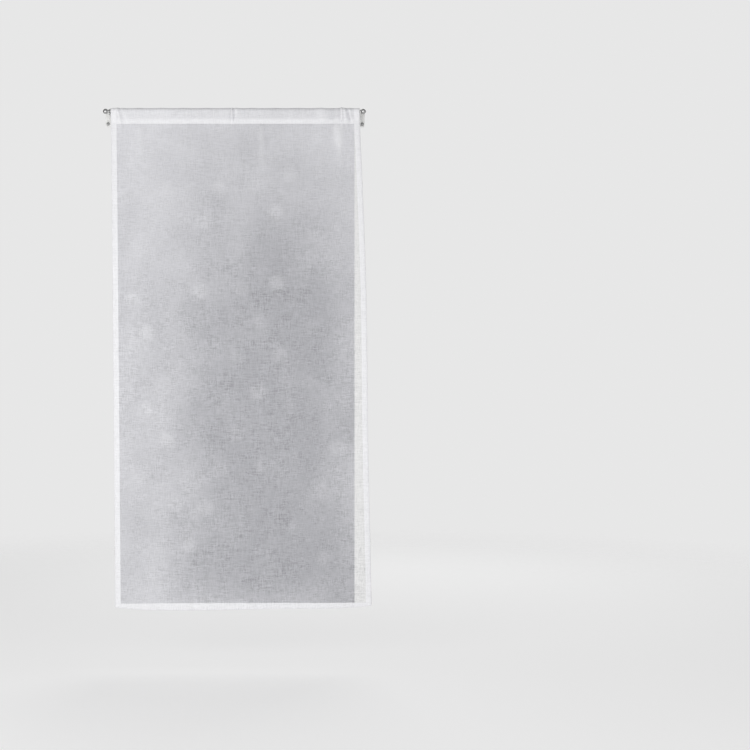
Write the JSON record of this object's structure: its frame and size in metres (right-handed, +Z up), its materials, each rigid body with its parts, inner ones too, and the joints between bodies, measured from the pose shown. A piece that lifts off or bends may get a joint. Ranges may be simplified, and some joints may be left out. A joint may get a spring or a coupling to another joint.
{
  "type": "polka dot curtain with rod",
  "caption": "Short sheer white curtain with soft round dots, hung by its pocket from a thin round rod with ball ends, on two small plate brackets.",
  "frame": {"origin": "on the back face of the left bracket's plate, level with the rod's axis", "axes": "+X to the right across the curtain, +Y away from the room into what the brackets are screwed to, +Z up"},
  "size_m": [0.645, 0.028, 1.2066],
  "materials": {
    "voile": "sheer white voile with a fine slubbed weave and soft denser dots",
    "polished_metal": "polished",
    "white_plastic": "smooth white"
  },
  "bodies": {
    "root": {"curtain_panel": "voile", "rod_tube": "polished_metal", "finial_left": "polished_metal", "finial_right": "polished_metal", "bracket_left": "white_plastic", "bracket_right": "white_plastic", "screw_left": "polished_metal", "screw_right": "polished_metal"}
  },
  "joints": []
}
